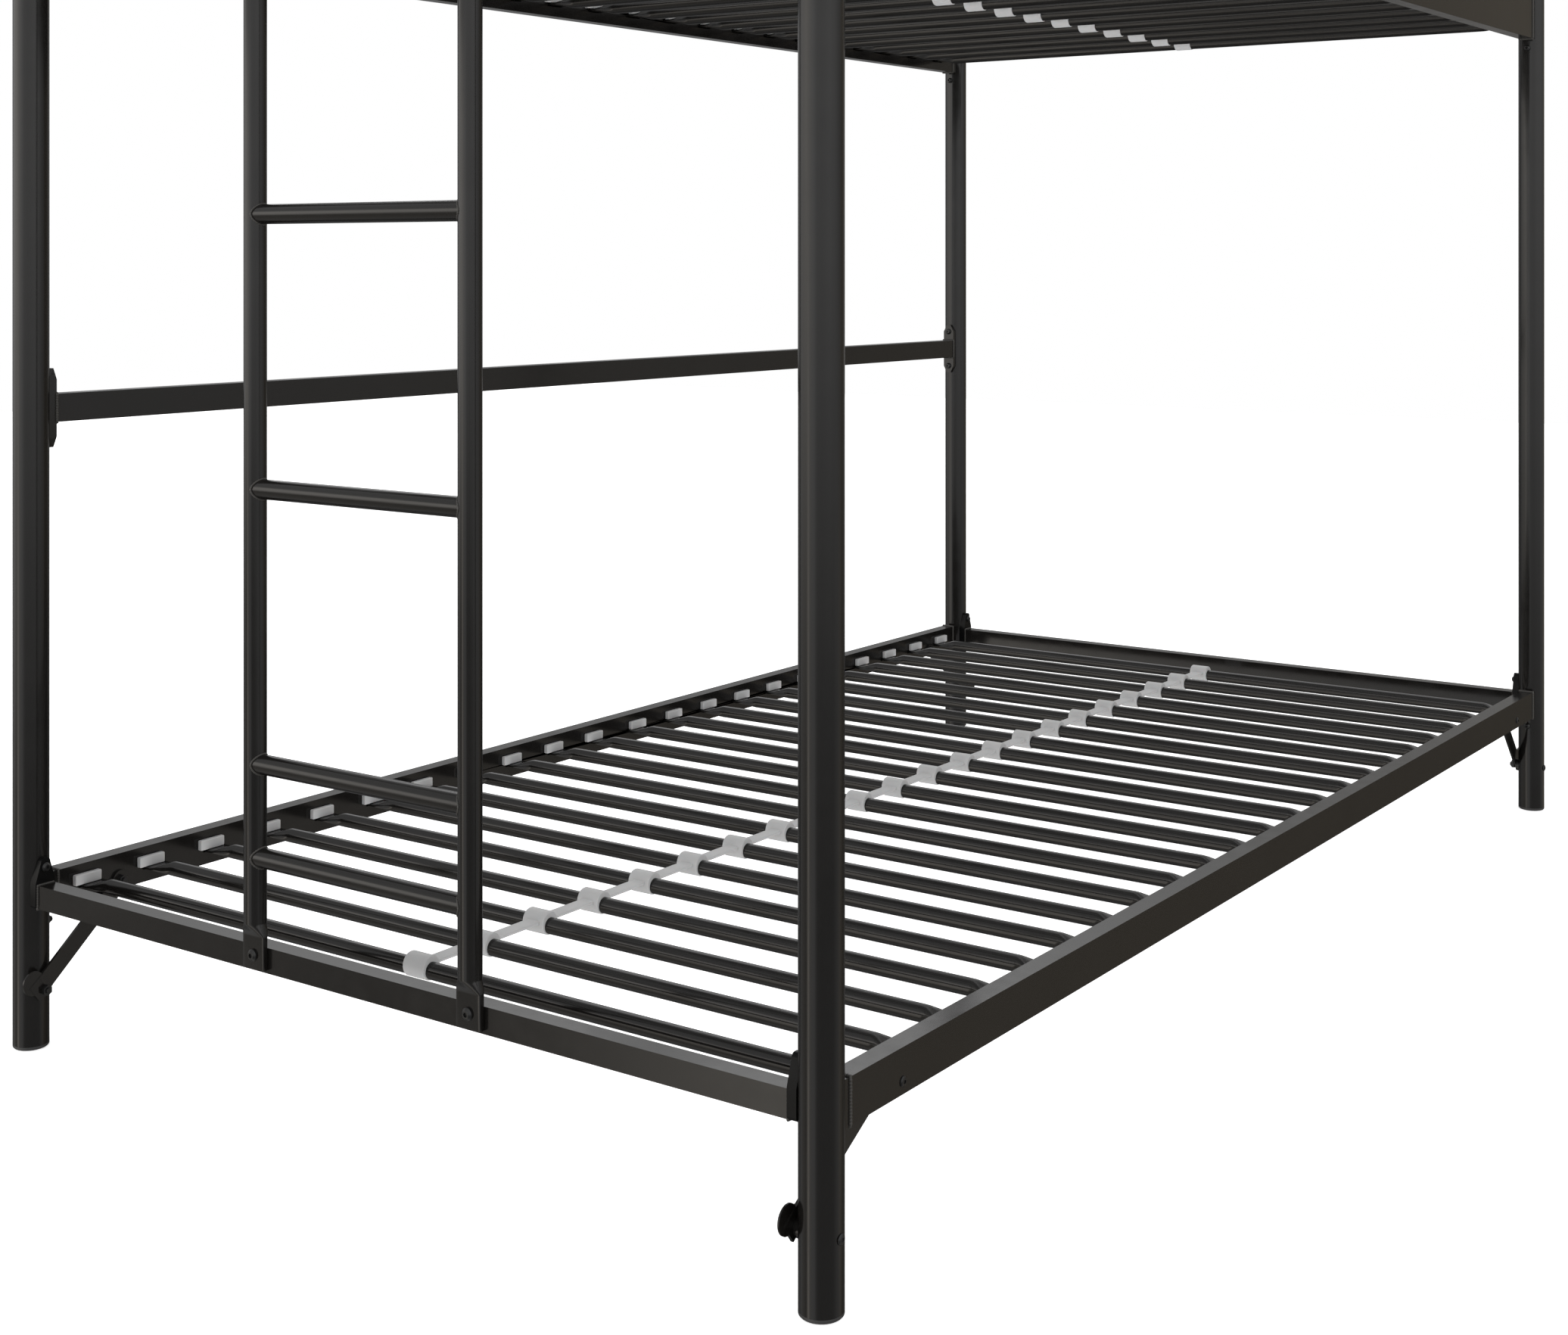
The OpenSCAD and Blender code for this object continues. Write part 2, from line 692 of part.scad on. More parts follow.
brace_at(-1, -1);  // foot_wall_brace
brace_at(1, 1);  // head_room_brace
brace_at(-1, 1);  // head_wall_brace
brace_saddles();
brace_rail_bolts();
brace_post_bolts();
brace_nuts();
wall_stretcher();
stretcher_end_plates();
stretcher_bolts();
ladder_stile(1);  // room_ladder_stile
ladder_stile(-1);  // wall_ladder_stile
ladder_rungs();
ladder_bolts();
side_guard_top_rail(1);  // room_guard_top_rail
side_guard_bars(1);  // room_guard_bars
side_guard_spindles(1);  // room_guard_spindles
side_guard_top_rail(-1);  // wall_guard_top_rail
side_guard_bars(-1);  // wall_guard_bars
side_guard_spindles(-1);  // wall_guard_spindles
head_guard_top_rail();
head_guard_bars();
head_guard_spindle();
foot_guard_top_rails();
foot_guard_bars();
foot_guard_uprights();
guard_end_plates();
guard_bolts();
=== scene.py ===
"""Looks of the metal bunk bed: powder-coated steel tube, grey plastic clips, welds and bolts.

Lengths are in metres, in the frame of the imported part: X across the bed, Y along it, Z up.
"""

import json
import math

import bpy
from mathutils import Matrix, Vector


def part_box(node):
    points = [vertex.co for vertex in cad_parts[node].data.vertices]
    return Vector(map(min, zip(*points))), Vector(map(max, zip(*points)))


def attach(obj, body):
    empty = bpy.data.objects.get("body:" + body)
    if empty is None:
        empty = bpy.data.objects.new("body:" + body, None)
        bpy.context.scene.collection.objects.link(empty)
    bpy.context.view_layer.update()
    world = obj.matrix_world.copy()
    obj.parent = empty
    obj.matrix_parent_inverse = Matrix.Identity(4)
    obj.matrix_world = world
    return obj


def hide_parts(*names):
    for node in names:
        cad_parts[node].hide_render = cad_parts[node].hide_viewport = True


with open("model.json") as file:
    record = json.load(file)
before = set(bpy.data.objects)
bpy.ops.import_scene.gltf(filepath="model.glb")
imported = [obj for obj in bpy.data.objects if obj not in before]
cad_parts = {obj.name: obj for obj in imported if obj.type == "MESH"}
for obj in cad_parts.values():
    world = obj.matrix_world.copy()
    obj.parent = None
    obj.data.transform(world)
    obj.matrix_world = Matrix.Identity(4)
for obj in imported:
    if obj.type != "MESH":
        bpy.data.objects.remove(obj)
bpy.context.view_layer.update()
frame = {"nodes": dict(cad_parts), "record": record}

MM = 0.001
NODES = frame["nodes"]

# ---------- sizes read from the frame ----------


def middle(node):
    """Centre of a CAD node's box."""
    low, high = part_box(node)
    return (low + high) / 2


def size(node):
    """Extent of a CAD node's box."""
    low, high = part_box(node)
    return high - low


RAIL_INNER_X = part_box("lower_room_rail")[0].x
SIDE_RAILS = ("lower_room_rail", "lower_wall_rail", "upper_room_rail", "upper_wall_rail")
END_RAILS = ("lower_foot_rail", "lower_head_rail", "upper_foot_rail", "upper_head_rail")
SIDE_GUARD_RAILS = ("room_guard_top_rail", "wall_guard_top_rail")
SLAT_COUNT = 22
BLADE_W = 30 * MM
BLADE_T = 4 * MM
BLADE_DROP = 1.5 * MM
RUNG_COUNT = 5
SECOND_RUNG_RISE = 91 * MM

# ---------- materials ----------


def new_material(name):
    """A node material and a helper that adds nodes to it."""
    material = bpy.data.materials.new(name)
    material.use_nodes = True
    tree = material.node_tree
    tree.nodes.clear()

    def add(kind, **values):
        node = tree.nodes.new(kind)
        for key, value in values.items():
            if key in node.inputs:
                node.inputs[key].default_value = value
            else:
                setattr(node, key, value)
        return node

    return material, tree, add


COAT_GLOSS = 0.3


def powder_coat(name, dark, light, rough_low, rough_high, grain=1300, bump=0.015, shine=COAT_GLOSS):
    """Baked powder coat: a faint orange peel, patchy gloss and a slow drift of tone."""
    material, tree, add = new_material(name)
    link = tree.links.new
    place = add("ShaderNodeTexCoord")
    shader = add("ShaderNodeBsdfPrincipled")
    shader.inputs["IOR"].default_value = 1.5
    shader.inputs["Specular IOR Level"].default_value = shine
    out = add("ShaderNodeOutputMaterial")
    drift = add("ShaderNodeTexNoise", Scale=9.0, Detail=3.0, Roughness=0.55)
    tone = add("ShaderNodeMix", data_type="RGBA")
    tone.inputs[6].default_value = (*dark, 1)
    tone.inputs[7].default_value = (*light, 1)
    patches = add("ShaderNodeTexNoise", Scale=38.0, Detail=4.0, Roughness=0.6)
    gloss = add("ShaderNodeMapRange")
    gloss.inputs["From Min"].default_value = 0.3
    gloss.inputs["From Max"].default_value = 0.7
    gloss.inputs["To Min"].default_value = rough_low
    gloss.inputs["To Max"].default_value = rough_high
    peel = add("ShaderNodeTexNoise", Scale=grain, Detail=2.0, Roughness=0.5)
    relief = add("ShaderNodeBump", Strength=bump, Distance=0.2 * MM)
    for texture in (drift, patches, peel):
        link(place.outputs["Object"], texture.inputs["Vector"])
    link(drift.outputs["Fac"], tone.inputs[0])
    link(tone.outputs[2], shader.inputs["Base Color"])
    link(patches.outputs["Fac"], gloss.inputs["Value"])
    link(gloss.outputs["Result"], shader.inputs["Roughness"])
    link(peel.outputs["Fac"], relief.inputs["Height"])
    link(relief.outputs["Normal"], shader.inputs["Normal"])
    link(shader.outputs["BSDF"], out.inputs["Surface"])
    return material


def moulded_plastic(name, dark, light, rough, grain=900, bump=0.15, glow=0.0):
    """Matt moulded plastic with a fine spark-eroded grain and cloudy colour."""
    material, tree, add = new_material(name)
    link = tree.links.new
    place = add("ShaderNodeTexCoord")
    shader = add("ShaderNodeBsdfPrincipled", Roughness=rough)
    shader.inputs["Subsurface Weight"].default_value = glow
    shader.inputs["Subsurface Scale"].default_value = 2 * MM
    out = add("ShaderNodeOutputMaterial")
    clouds = add("ShaderNodeTexNoise", Scale=60.0, Detail=3.0)
    tone = add("ShaderNodeMix", data_type="RGBA")
    tone.inputs[6].default_value = (*dark, 1)
    tone.inputs[7].default_value = (*light, 1)
    erosion = add("ShaderNodeTexNoise", Scale=grain, Detail=3.0)
    relief = add("ShaderNodeBump", Strength=bump, Distance=0.1 * MM)
    for texture in (clouds, erosion):
        link(place.outputs["Object"], texture.inputs["Vector"])
    link(clouds.outputs["Fac"], tone.inputs[0])
    link(tone.outputs[2], shader.inputs["Base Color"])
    link(erosion.outputs["Fac"], relief.inputs["Height"])
    link(relief.outputs["Normal"], shader.inputs["Normal"])
    link(shader.outputs["BSDF"], out.inputs["Surface"])
    return material


STEEL = powder_coat("powder_coat_black", (0.0036, 0.0033, 0.0031), (0.0058, 0.0053, 0.0048), 0.13, 0.20)
# The weld coat is the black powder coat made several times lighter: a painted highlight standing in for the
# glints on the rippled beads.
WELD = powder_coat("powder_coat_weld_painted_highlight", (0.020, 0.019, 0.017), (0.034, 0.032, 0.029), 0.16, 0.3, 700, 0.1)
HARDWARE = powder_coat("black_oxide", (0.004, 0.004, 0.004), (0.008, 0.008, 0.008), 0.22, 0.4, 2200)
# The bracket coat is the black powder coat made darker and less shiny: painted shade on the end-rail
# brackets.
BRACKET_PAINTED_SHADE = powder_coat("powder_coat_painted_shade", (0.0022,) * 3, (0.004,) * 3, 0.2, 0.3, shine=0.07)
CLIP = moulded_plastic("clip_grey", (0.36, 0.36, 0.362), (0.42, 0.42, 0.42), 0.5, glow=0.05)
BLACK_PLASTIC = moulded_plastic("plug_black", (0.010, 0.010, 0.010), (0.016, 0.016, 0.016), 0.5)

MATERIAL_OF_SLOT = {
    "frame_steel": STEEL,
    "hardware": HARDWARE,
    "clip_plastic": CLIP,
    "black_plastic": BLACK_PLASTIC,
}

# Pieces drawn with another material than the rest of their slot: the end-rail brackets get a darker, less
# shiny copy of the black coat, which is painted shade.
MATERIAL_OF_NODE = {
    "end_rail_brackets": BRACKET_PAINTED_SHADE,
}

# ---------- mesh helpers ----------


def mesh_object(name, verts, faces, material):
    """A new piece from its corners and faces, riding on the bed."""
    mesh = bpy.data.meshes.new(name)
    mesh.from_pydata([tuple(v) for v in verts], [], faces)
    mesh.validate()
    mesh.polygons.foreach_set("use_smooth", [True] * len(mesh.polygons))
    mesh.materials.append(material)
    mesh.update()
    return place_object(name, mesh)


def place_object(name, mesh, location=(0, 0, 0)):
    """An object that shows a mesh, riding on the bed."""
    piece = bpy.data.objects.new(name, mesh)
    piece.location = location
    bpy.context.scene.collection.objects.link(piece)
    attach(piece, "root")
    return piece


def loft(rings, closed_ends=True):
    """Corners and faces of a skin through rings of equal length, with flat ends."""
    count = len(rings[0])
    verts = [point for ring in rings for point in ring]
    faces = []
    for i in range(len(rings) - 1):
        for j in range(count):
            k = (j + 1) % count
            a, b = i * count, (i + 1) * count
            faces.append((a + j, a + k, b + k, b + j))
    if closed_ends:
        faces.append(tuple(reversed(range(count))))
        last = (len(rings) - 1) * count
        faces.append(tuple(range(last, last + count)))
    return verts, faces


def join_parts(parts):
    """Corners and faces of several meshes as one."""
    verts, faces = [], []
    for part_verts, part_faces in parts:
        start = len(verts)
        verts += part_verts
        faces += [tuple(index + start for index in face) for face in part_faces]
    return verts, faces


def smooth_step(t):
    """0 before 0, 1 after 1 and an even turn between."""
    t = min(max(t, 0.0), 1.0)
    return t * t * (3 - 2 * t)


def squircle(half_w, half_h, power, count):
    """Points of a rounded outline: power 2 is an ellipse and more is squarer."""
    points = []
    for j in range(count):
        angle = 2 * math.pi * j / count
        c, s = math.cos(angle), math.sin(angle)
        u = math.copysign(abs(c) ** (2 / power), c) * half_w
        v = math.copysign(abs(s) ** (2 / power), s) * half_h
        points.append((u, v))
    return points


# ---------- carried-over CAD nodes ----------

# How far edges are rounded, in millimetres, where it isn't SMALL_EDGE or RAIL_EDGE.
EDGE_WIDTHS = {
    "lower_slat_caps": 1.2,
    "upper_slat_caps": 1.2,
    "post_caps": 1.5,
    "foot_plugs": 1.0,
    "side_rail_hook_plates": 1.0,
    "end_rail_brackets": 1.0,
    "stretcher_end_plates": 1.0,
    "guard_end_plates": 1.0,
    "brace_nuts": 0.4,
}
RAIL_EDGE = 2.0
SMALL_EDGE = 0.5
FACE_AREA_WEIGHT = 80
SAME_POINT = 0.005 * MM
SAME_PLANE = math.radians(1)
SHARP_CORNER = math.radians(38)


def edge_width(name):
    """How far an edge of that node is rounded, in millimetres."""
    if name in EDGE_WIDTHS:
        return EDGE_WIDTHS[name]
    if "rail" in name or "stretcher" in name:
        return RAIL_EDGE if "bolts" not in name and "studs" not in name else SMALL_EDGE
    return SMALL_EDGE


def finish_node(name, slot):
    """Rounds a CAD node's edges and gives it its finish."""
    piece = NODES[name]
    mesh = piece.data
    mesh.materials.clear()
    mesh.materials.append(MATERIAL_OF_NODE.get(name, MATERIAL_OF_SLOT[slot]))
    mesh.polygons.foreach_set("material_index", [0] * len(mesh.polygons))
    mesh.polygons.foreach_set("use_smooth", [True] * len(mesh.polygons))
    if "custom_normal" in mesh.attributes:
        mesh.attributes.remove(mesh.attributes["custom_normal"])
    weld = piece.modifiers.new("weld", "WELD")
    weld.merge_threshold = SAME_POINT
    flat = piece.modifiers.new("flat", "DECIMATE")
    flat.decimate_type = "DISSOLVE"
    flat.angle_limit = SAME_PLANE
    bevel = piece.modifiers.new("edges", "BEVEL")
    bevel.width = edge_width(name) * MM
    bevel.segments = 3
    bevel.limit_method = "ANGLE"
    bevel.angle_limit = SHARP_CORNER
    bevel.use_clamp_overlap = True
    bevel.miter_outer = "MITER_ARC"
    even = piece.modifiers.new("shade", "WEIGHTED_NORMAL")
    even.keep_sharp = False
    even.weight = FACE_AREA_WEIGHT


for part in frame["record"]["subparts"]:
    finish_node(part["node"], part["material_slot"])

# ---------- slats ----------

SLAT_SIDES = 28
SWAGE_LEN = 30 * MM
SWAGE_STEPS = 12
# Where a slat starts to be fully flat, and places along its round part where its outline is set.
BLADE_FROM = RAIL_INNER_X - 10 * MM
TUBE_STATIONS = [150 * MM, 300 * MM]


def slat_ring(x, radius):
    """Outline of a slat at x: round in the middle and pressed flat near its ends."""
    t = smooth_step((abs(x) - (BLADE_FROM - SWAGE_LEN)) / SWAGE_LEN)
    half_w = radius + (BLADE_W / 2 - radius) * t
    half_h = radius + (BLADE_T / 2 - radius) * t
    power = 2 + 2.5 * t
    return [(x, u, v - BLADE_DROP * t) for u, v in squircle(half_w, half_h, power, SLAT_SIDES)]


def slat_stations(end):
    """Places along a slat where its outline is set: few along the tube, many at its ends."""
    start = BLADE_FROM - SWAGE_LEN
    swage = [start + SWAGE_LEN * i / SWAGE_STEPS for i in range(SWAGE_STEPS + 1)]
    right = TUBE_STATIONS + swage + [end]
    return [-x for x in reversed(right)] + [0.0] + right


def slat_places(deck):
    """Heights and Y places of one deck's slats."""
    low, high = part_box(deck + "_slats")
    first = low.y + BLADE_W / 2
    pitch = (high.y - low.y - BLADE_W) / (SLAT_COUNT - 1)
    return (low.z + high.z) / 2, [first + i * pitch for i in range(SLAT_COUNT)]


def make_slats(deck):
    """One deck's slats: a shared mesh, placed once for each slat."""
    low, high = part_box(deck + "_slats")
    radius = (high.z - low.z) / 2
    verts, faces = loft([slat_ring(x, radius) for x in slat_stations(high.x)])
    mesh = bpy.data.meshes.new(deck + "_slat")
    mesh.from_pydata(verts, [], faces)
    mesh.polygons.foreach_set("use_smooth", [True] * len(mesh.polygons))
    mesh.materials.append(STEEL)
    z, places = slat_places(deck)
    for i, y in enumerate(places):
        piece = place_object(f"{deck}_slat_{i + 1:02d}", mesh, (0, y, z))
        if i == 0:
            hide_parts(deck + "_slats")


make_slats("lower")
make_slats("upper")

# ---------- centre clips ----------

CLIP_R = 12 * MM
CLIP_EDGE = 1.2 * MM
CLIP_LIFT = 2.5 * MM
CLIP_SIDES = 36
CLIP_ROUNDING = 0.4 * MM
CLIP_CORNER = math.radians(50)
STRAP_W = 18 * MM
STRAP_T = 3 * MM
STRAP_LIFT = 4 * MM
STRAP_BITE = 1.5 * MM
STRAP_SIDES = 24
STRAP_POWER = 7
# Thickness of a strap from clip to clip: it thickens where it joins them.
STRAP_SWELLS = ((0, 1.8), (0.03, 1.4), (0.07, 1.1), (0.12, 1), (0.88, 1), (0.93, 1.1), (0.97, 1.4), (1, 1.8))


def clip_barrel(low_x, high_x, y, z):
    """The sleeve of a clip round a slat, its ends a little rounded."""
    ends = [(0, CLIP_EDGE), (0.35 * CLIP_EDGE, 0.35 * CLIP_EDGE), (CLIP_EDGE, 0)]
    stations = [(low_x + d, CLIP_R - inset) for d, inset in ends]
    stations += [(high_x - d, CLIP_R - inset) for d, inset in reversed(ends)]
    rings = []
    for x, radius in stations:
        rings.append([(x, y + u, z + CLIP_LIFT + v) for u, v in squircle(radius, radius, 2, CLIP_SIDES)])
    return loft(rings)


def clip_strap(x, low_y, high_y, z):
    """The flat strap from one clip to the next, thickened into both clips."""
    rings = []
    length = high_y - low_y
    for share, swell in STRAP_SWELLS:
        outline = squircle(STRAP_W / 2, STRAP_T / 2 * swell, STRAP_POWER, STRAP_SIDES)
        rings.append([(x + u, low_y + share * length, z + STRAP_LIFT + v) for u, v in outline])
    return loft(rings)


def make_clips(deck):
    """One deck's row of clips with their straps."""
    low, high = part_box(deck + "_centre_clips")
    z, places = slat_places(deck)
    parts = [clip_barrel(low.x, high.x, y, z) for y in places]
    reach = CLIP_R - STRAP_BITE
    for here, there in zip(places, places[1:]):
        parts.append(clip_strap((low.x + high.x) / 2, here + reach, there - reach, z))
    verts, faces = join_parts(parts)
    piece = mesh_object(deck + "_clip_row", verts, faces, CLIP)
    round_off(piece, CLIP_ROUNDING)
    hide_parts(deck + "_centre_clips")


def round_off(piece, width):
    """Narrow bevels on a piece's sharp edges, with even shading."""
    bevel = piece.modifiers.new("edges", "BEVEL")
    bevel.width = width
    bevel.segments = 2
    bevel.limit_method = "ANGLE"
    bevel.angle_limit = CLIP_CORNER
    even = piece.modifiers.new("shade", "WEIGHTED_NORMAL")
    even.weight = FACE_AREA_WEIGHT


make_clips("lower")
make_clips("upper")

# ---------- ladder ----------

STILE_SIDES = 48
TAB_W = 30 * MM
TAB_T = 6 * MM
TAB_EDGE = 1.0 * MM
PRESS_LEN = 14 * MM
TUBE_FROM = 46 * MM
# How flat a stile is along its pressed length: share of that length up from the tab, then flatness.
PRESS_SHAPE = ((0.06, 0.98), (0.14, 0.92), (0.5, 0.55), (0.84, 0.15), (0.93, 0.05), (1, 0))


def stile_ring(z, flat, radius, inset=0.0):
    """Outline of a stile: round where flat is 0 and a thin rounded bar where it is 1."""
    half_w = radius + (TAB_W / 2 - radius) * flat - inset
    half_t = radius + (TAB_T / 2 - radius) * flat - inset
    return [(u, v, z) for u, v in squircle(half_w, half_t, 2 + 7 * flat ** 2, STILE_SIDES)]


def stile_end(radius):
    """Rings of a stile's flattened end, up from its tip at z = 0."""
    rings = [stile_ring(0, 1, radius, TAB_EDGE), stile_ring(0.3 * TAB_EDGE, 1, radius, 0.3 * TAB_EDGE)]
    rings += [stile_ring(TAB_EDGE, 1, radius), stile_ring(TUBE_FROM - PRESS_LEN, 1, radius)]
    for share, flat in PRESS_SHAPE:
        rings.append(stile_ring(TUBE_FROM - PRESS_LEN * (1 - share), flat, radius))
    return rings


def make_stile(name):
    """A stile: a tube pressed flat at both ends where it is bolted on."""
    low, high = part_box(name)
    radius = (high.y - low.y) / 2
    bottom = stile_end(radius)
    height = high.z - low.z
    top = [[(x, y, height - z) for x, y, z in ring] for ring in reversed(bottom)]
    verts, faces = loft(bottom + top)
    piece = mesh_object(name + "_tube", verts, faces, STEEL)
    piece.location = ((low.x + high.x) / 2, (low.y + high.y) / 2, low.z)
    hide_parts(name)


make_stile("room_ladder_stile")
make_stile("wall_ladder_stile")

# ---------- weld beads ----------

BEAD_SIDES = 8
BEAD_PITCH = 2.7 * MM
BEAD_SWELL = (1.16, 1.0, 0.84)
SIDE_RAIL_BEAD = 1.9 * MM
END_RAIL_BEAD = 1.5 * MM
STRETCHER_BEAD = 2 * MM
GUARD_RAIL_BEAD = 1.8 * MM
GUARD_BAR_BEAD = 1.6 * MM
UPRIGHT_BEAD = 1.8 * MM
UPRIGHT_TUCK = 1.2 * MM
RUNG_BEAD = 1.2 * MM
RUNG_BEAD_OUT = 0.4 * MM
ROUND_POINTS = 24
COPE_POINTS = 28


def outline_points(corners):
    """Evenly spaced points round a closed outline, three to each ripple of a bead."""
    points = []
    for here, there in zip(corners, corners[1:] + corners[:1]):
        start, end = Vector(here), Vector(there)
        steps = max(1, round((end - start).length * len(BEAD_SWELL) / BEAD_PITCH))
        points += [start.lerp(end, k / steps) for k in range(steps)]
    return points


def bead(corners, radius, normal):
    """A rippled bead of weld round a closed outline that lies across the normal."""
    path = outline_points(corners)
    count = len(path)
    side = Vector(normal)
    verts, faces = [], []
    for i, point in enumerate(path):
        along = (path[(i + 1) % count] - path[i - 1]).normalized()
        out = along.cross(side).normalized()
        thick = radius * BEAD_SWELL[i % len(BEAD_SWELL)]
        for j in range(BEAD_SIDES):
            angle = 2 * math.pi * j / BEAD_SIDES
            verts.append(point + (side * math.cos(angle) + out * math.sin(angle)) * thick)
    for i in range(count):
        a, b = i * BEAD_SIDES, (i + 1) % count * BEAD_SIDES
        for j in range(BEAD_SIDES):
            k = (j + 1) % BEAD_SIDES
            faces.append((a + j, b + j, b + k, a + k))
    return verts, faces


def box_outline(low, high, axis, place):
    """Corners of a box's cross-section at a place along its axis (0 is X and 1 is Y)."""
    across = 1 - axis
    corners = []
    for wide, tall in ((0, 0), (1, 0), (1, 1), (0, 1)):
        corner = [0.0, 0.0, (low.z, high.z)[tall]]
        corner[axis] = place
        corner[across] = (low, high)[wide][across]
        corners.append(tuple(corner))
    return corners


def round_outline(centre, radius, axis):
    """Points of a circle round an axis (0 is X, 1 is Y and 2 is Z)."""
    points = []
    for j in range(ROUND_POINTS):
        angle = 2 * math.pi * j / ROUND_POINTS
        u, v = radius * math.cos(angle), radius * math.sin(angle)
        offset = [(0, u, v), (u, 0, v), (u, v, 0)][axis]
        points.append(tuple(Vector(centre) + Vector(offset)))
    return points


def unit(axis):
    """The unit vector of an axis."""
    return tuple(1.0 if i == axis else 0.0 for i in range(3))


def rail_beads(names, axis, radius):
    """Beads round both ends of straight rails."""
    parts = []
    for name in names:
        low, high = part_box(name)
        for place in (low[axis], high[axis]):
            parts.append(bead(box_outline(low, high, axis, place), radius, unit(axis)))
    return parts


def add_welds(name, parts):
    """One piece with all the beads of one kind."""
    verts, faces = join_parts(parts)
    mesh_object(name, verts, faces, WELD)


def cope_outline(centre, side, rung_r, stile_r):
    """The seam where a rung meets a round stile, on the stile's inner side."""
    points = []
    for j in range(COPE_POINTS):
        angle = 2 * math.pi * j / COPE_POINTS
        y, z = rung_r * math.cos(angle), rung_r * math.sin(angle)
        x = centre[0] - side * math.sqrt(stile_r ** 2 - y ** 2)
        points.append((x, centre[1] + y, centre[2] + z))
    return points


def rung_beads():
    """Beads round both ends of every rung."""
    low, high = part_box("ladder_rungs")
    rung_r = (high.y - low.y) / 2
    stile_r = size("room_ladder_stile").y / 2
    bottom, top = low.z + rung_r, high.z - rung_r
    second = bottom + SECOND_RUNG_RISE
    pitch = (top - second) / (RUNG_COUNT - 2)
    heights = [bottom] + [second + i * pitch for i in range(RUNG_COUNT - 1)]
    parts = []
    for side, name in ((1, "room_ladder_stile"), (-1, "wall_ladder_stile")):
        spot = middle(name)
        for z in heights:
            seam = cope_outline((spot.x, spot.y, z), side, rung_r + RUNG_BEAD_OUT, stile_r)
            parts.append(bead(seam, RUNG_BEAD, unit(0)))
    return parts


def guard_bar_beads():
    """Beads round the ends of the guards' round bars."""
    parts = []
    for name, axis in (("room_guard_bars", 1), ("wall_guard_bars", 1), ("head_guard_bars", 0)):
        low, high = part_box(name)
        radius = (high[1 - axis] - low[1 - axis]) / 2
        for z in (low.z + radius, high.z - radius):
            for place in (low[axis], high[axis]):
                centre = [(low.x + high.x) / 2, (low.y + high.y) / 2, z]
                centre[axis] = place
                parts.append(bead(round_outline(centre, radius, axis), GUARD_BAR_BEAD, unit(axis)))
    return parts


def upright_beads():
    """Beads round the feet of the uprights beside the ladder's opening."""
    low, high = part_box("foot_guard_uprights")
    radius = (high.y - low.y) / 2
    parts = []
    for x in (low.x + radius, high.x - radius):
        centre = (x, (low.y + high.y) / 2, low.z)
        parts.append(bead(round_outline(centre, radius - UPRIGHT_TUCK, 2), UPRIGHT_BEAD, unit(2)))
    return parts


add_welds("side_rail_welds", rail_beads(SIDE_RAILS, 1, SIDE_RAIL_BEAD))
add_welds("end_rail_welds", rail_beads(END_RAILS, 0, END_RAIL_BEAD))
add_welds("stretcher_welds", rail_beads(("wall_stretcher",), 1, STRETCHER_BEAD))
add_welds("side_guard_welds", rail_beads(SIDE_GUARD_RAILS, 1, GUARD_RAIL_BEAD))
add_welds("head_guard_welds", rail_beads(("head_guard_top_rail",), 0, GUARD_RAIL_BEAD))
add_welds("guard_bar_welds", guard_bar_beads())
add_welds("upright_welds", upright_beads())
add_welds("rung_welds", rung_beads())

# ---------- floor, light and camera ----------

LIGHT_TARGET = (0, 0, 0.7)


def area_light(name, spot, target, width, height, power):
    """A soft rectangular light that faces the target and shows in no reflection."""
    data = bpy.data.lights.new(name, "AREA")
    data.shape = "RECTANGLE"
    data.size = width
    data.size_y = height
    data.energy = power
    light = bpy.data.objects.new(name, data)
    light.location = spot
    light.rotation_euler = (Vector(target) - Vector(spot)).to_track_quat("-Z", "Y").to_euler()
    light.visible_glossy = False
    bpy.context.scene.collection.objects.link(light)


# Brightness of the studio round the bed: degrees from the photographer's side, turning towards
# their right, then the level and how warm it is. The soft boxes are on their left and behind the bed.
STUDIO_HIGH = (
    (-180, 0.35, 0), (-145, 0.4, 0), (-125, 0.9, 0), (-100, 1.9, 0.2), (-80, 2.8, 0.3), (-60, 2.6, 0.2),
    (-40, 2.2, 0), (-25, 1.7, 0), (0, 1.6, 0), (40, 1.8, 0), (70, 1.4, 0), (90, 0.8, 0),
    (115, 0.27, 0.8), (130, 0.2, 1), (150, 0.3, 0.3), (180, 0.35, 0),
)
STUDIO_LOW = (
    (-180, 0.15, 0), (-150, 0.15, 0), (-121, 0.4, 0), (-97, 0.45, 0.4), (-77, 0.36, 0.4), (-73, 1.5, 0.5),
    (-68, 2.7, 0.5), (-60, 1.1, 0.3), (-45, 1.1, 0), (-35, 1, 0), (-22, 0.35, 0), (0, 0.3, 0), (60, 0.3, 0),
    (80, 0.5, 0), (97, 0.55, 0.5), (112, 0.28, 1), (130, 0.07, 1), (150, 0.08, 0.5), (180, 0.12, 0),
)
STUDIO_ABOVE = (
    (-180, 1.6, 0), (-163, 1.6, 0), (-150, 0.5, 0), (-105, 0.75, 0), (-75, 1.0, 0), (-55, 1.3, 0),
    (-30, 1.5, 0), (120, 1.2, 0), (160, 0.85, 0), (174, 1.5, 0), (180, 1.6, 0),
)
# Heights, as the upward part of a direction, over which one band gives way to the next.
LOW_TO_HIGH = (-0.28, 0.08)
HIGH_TO_ABOVE = (0.23, 0.38)
STUDIO_TURN = 54.86
STUDIO_PEAK = 2.8
STUDIO_SOFT = 0.75
WARM = (0.14, 0.0, -0.2)


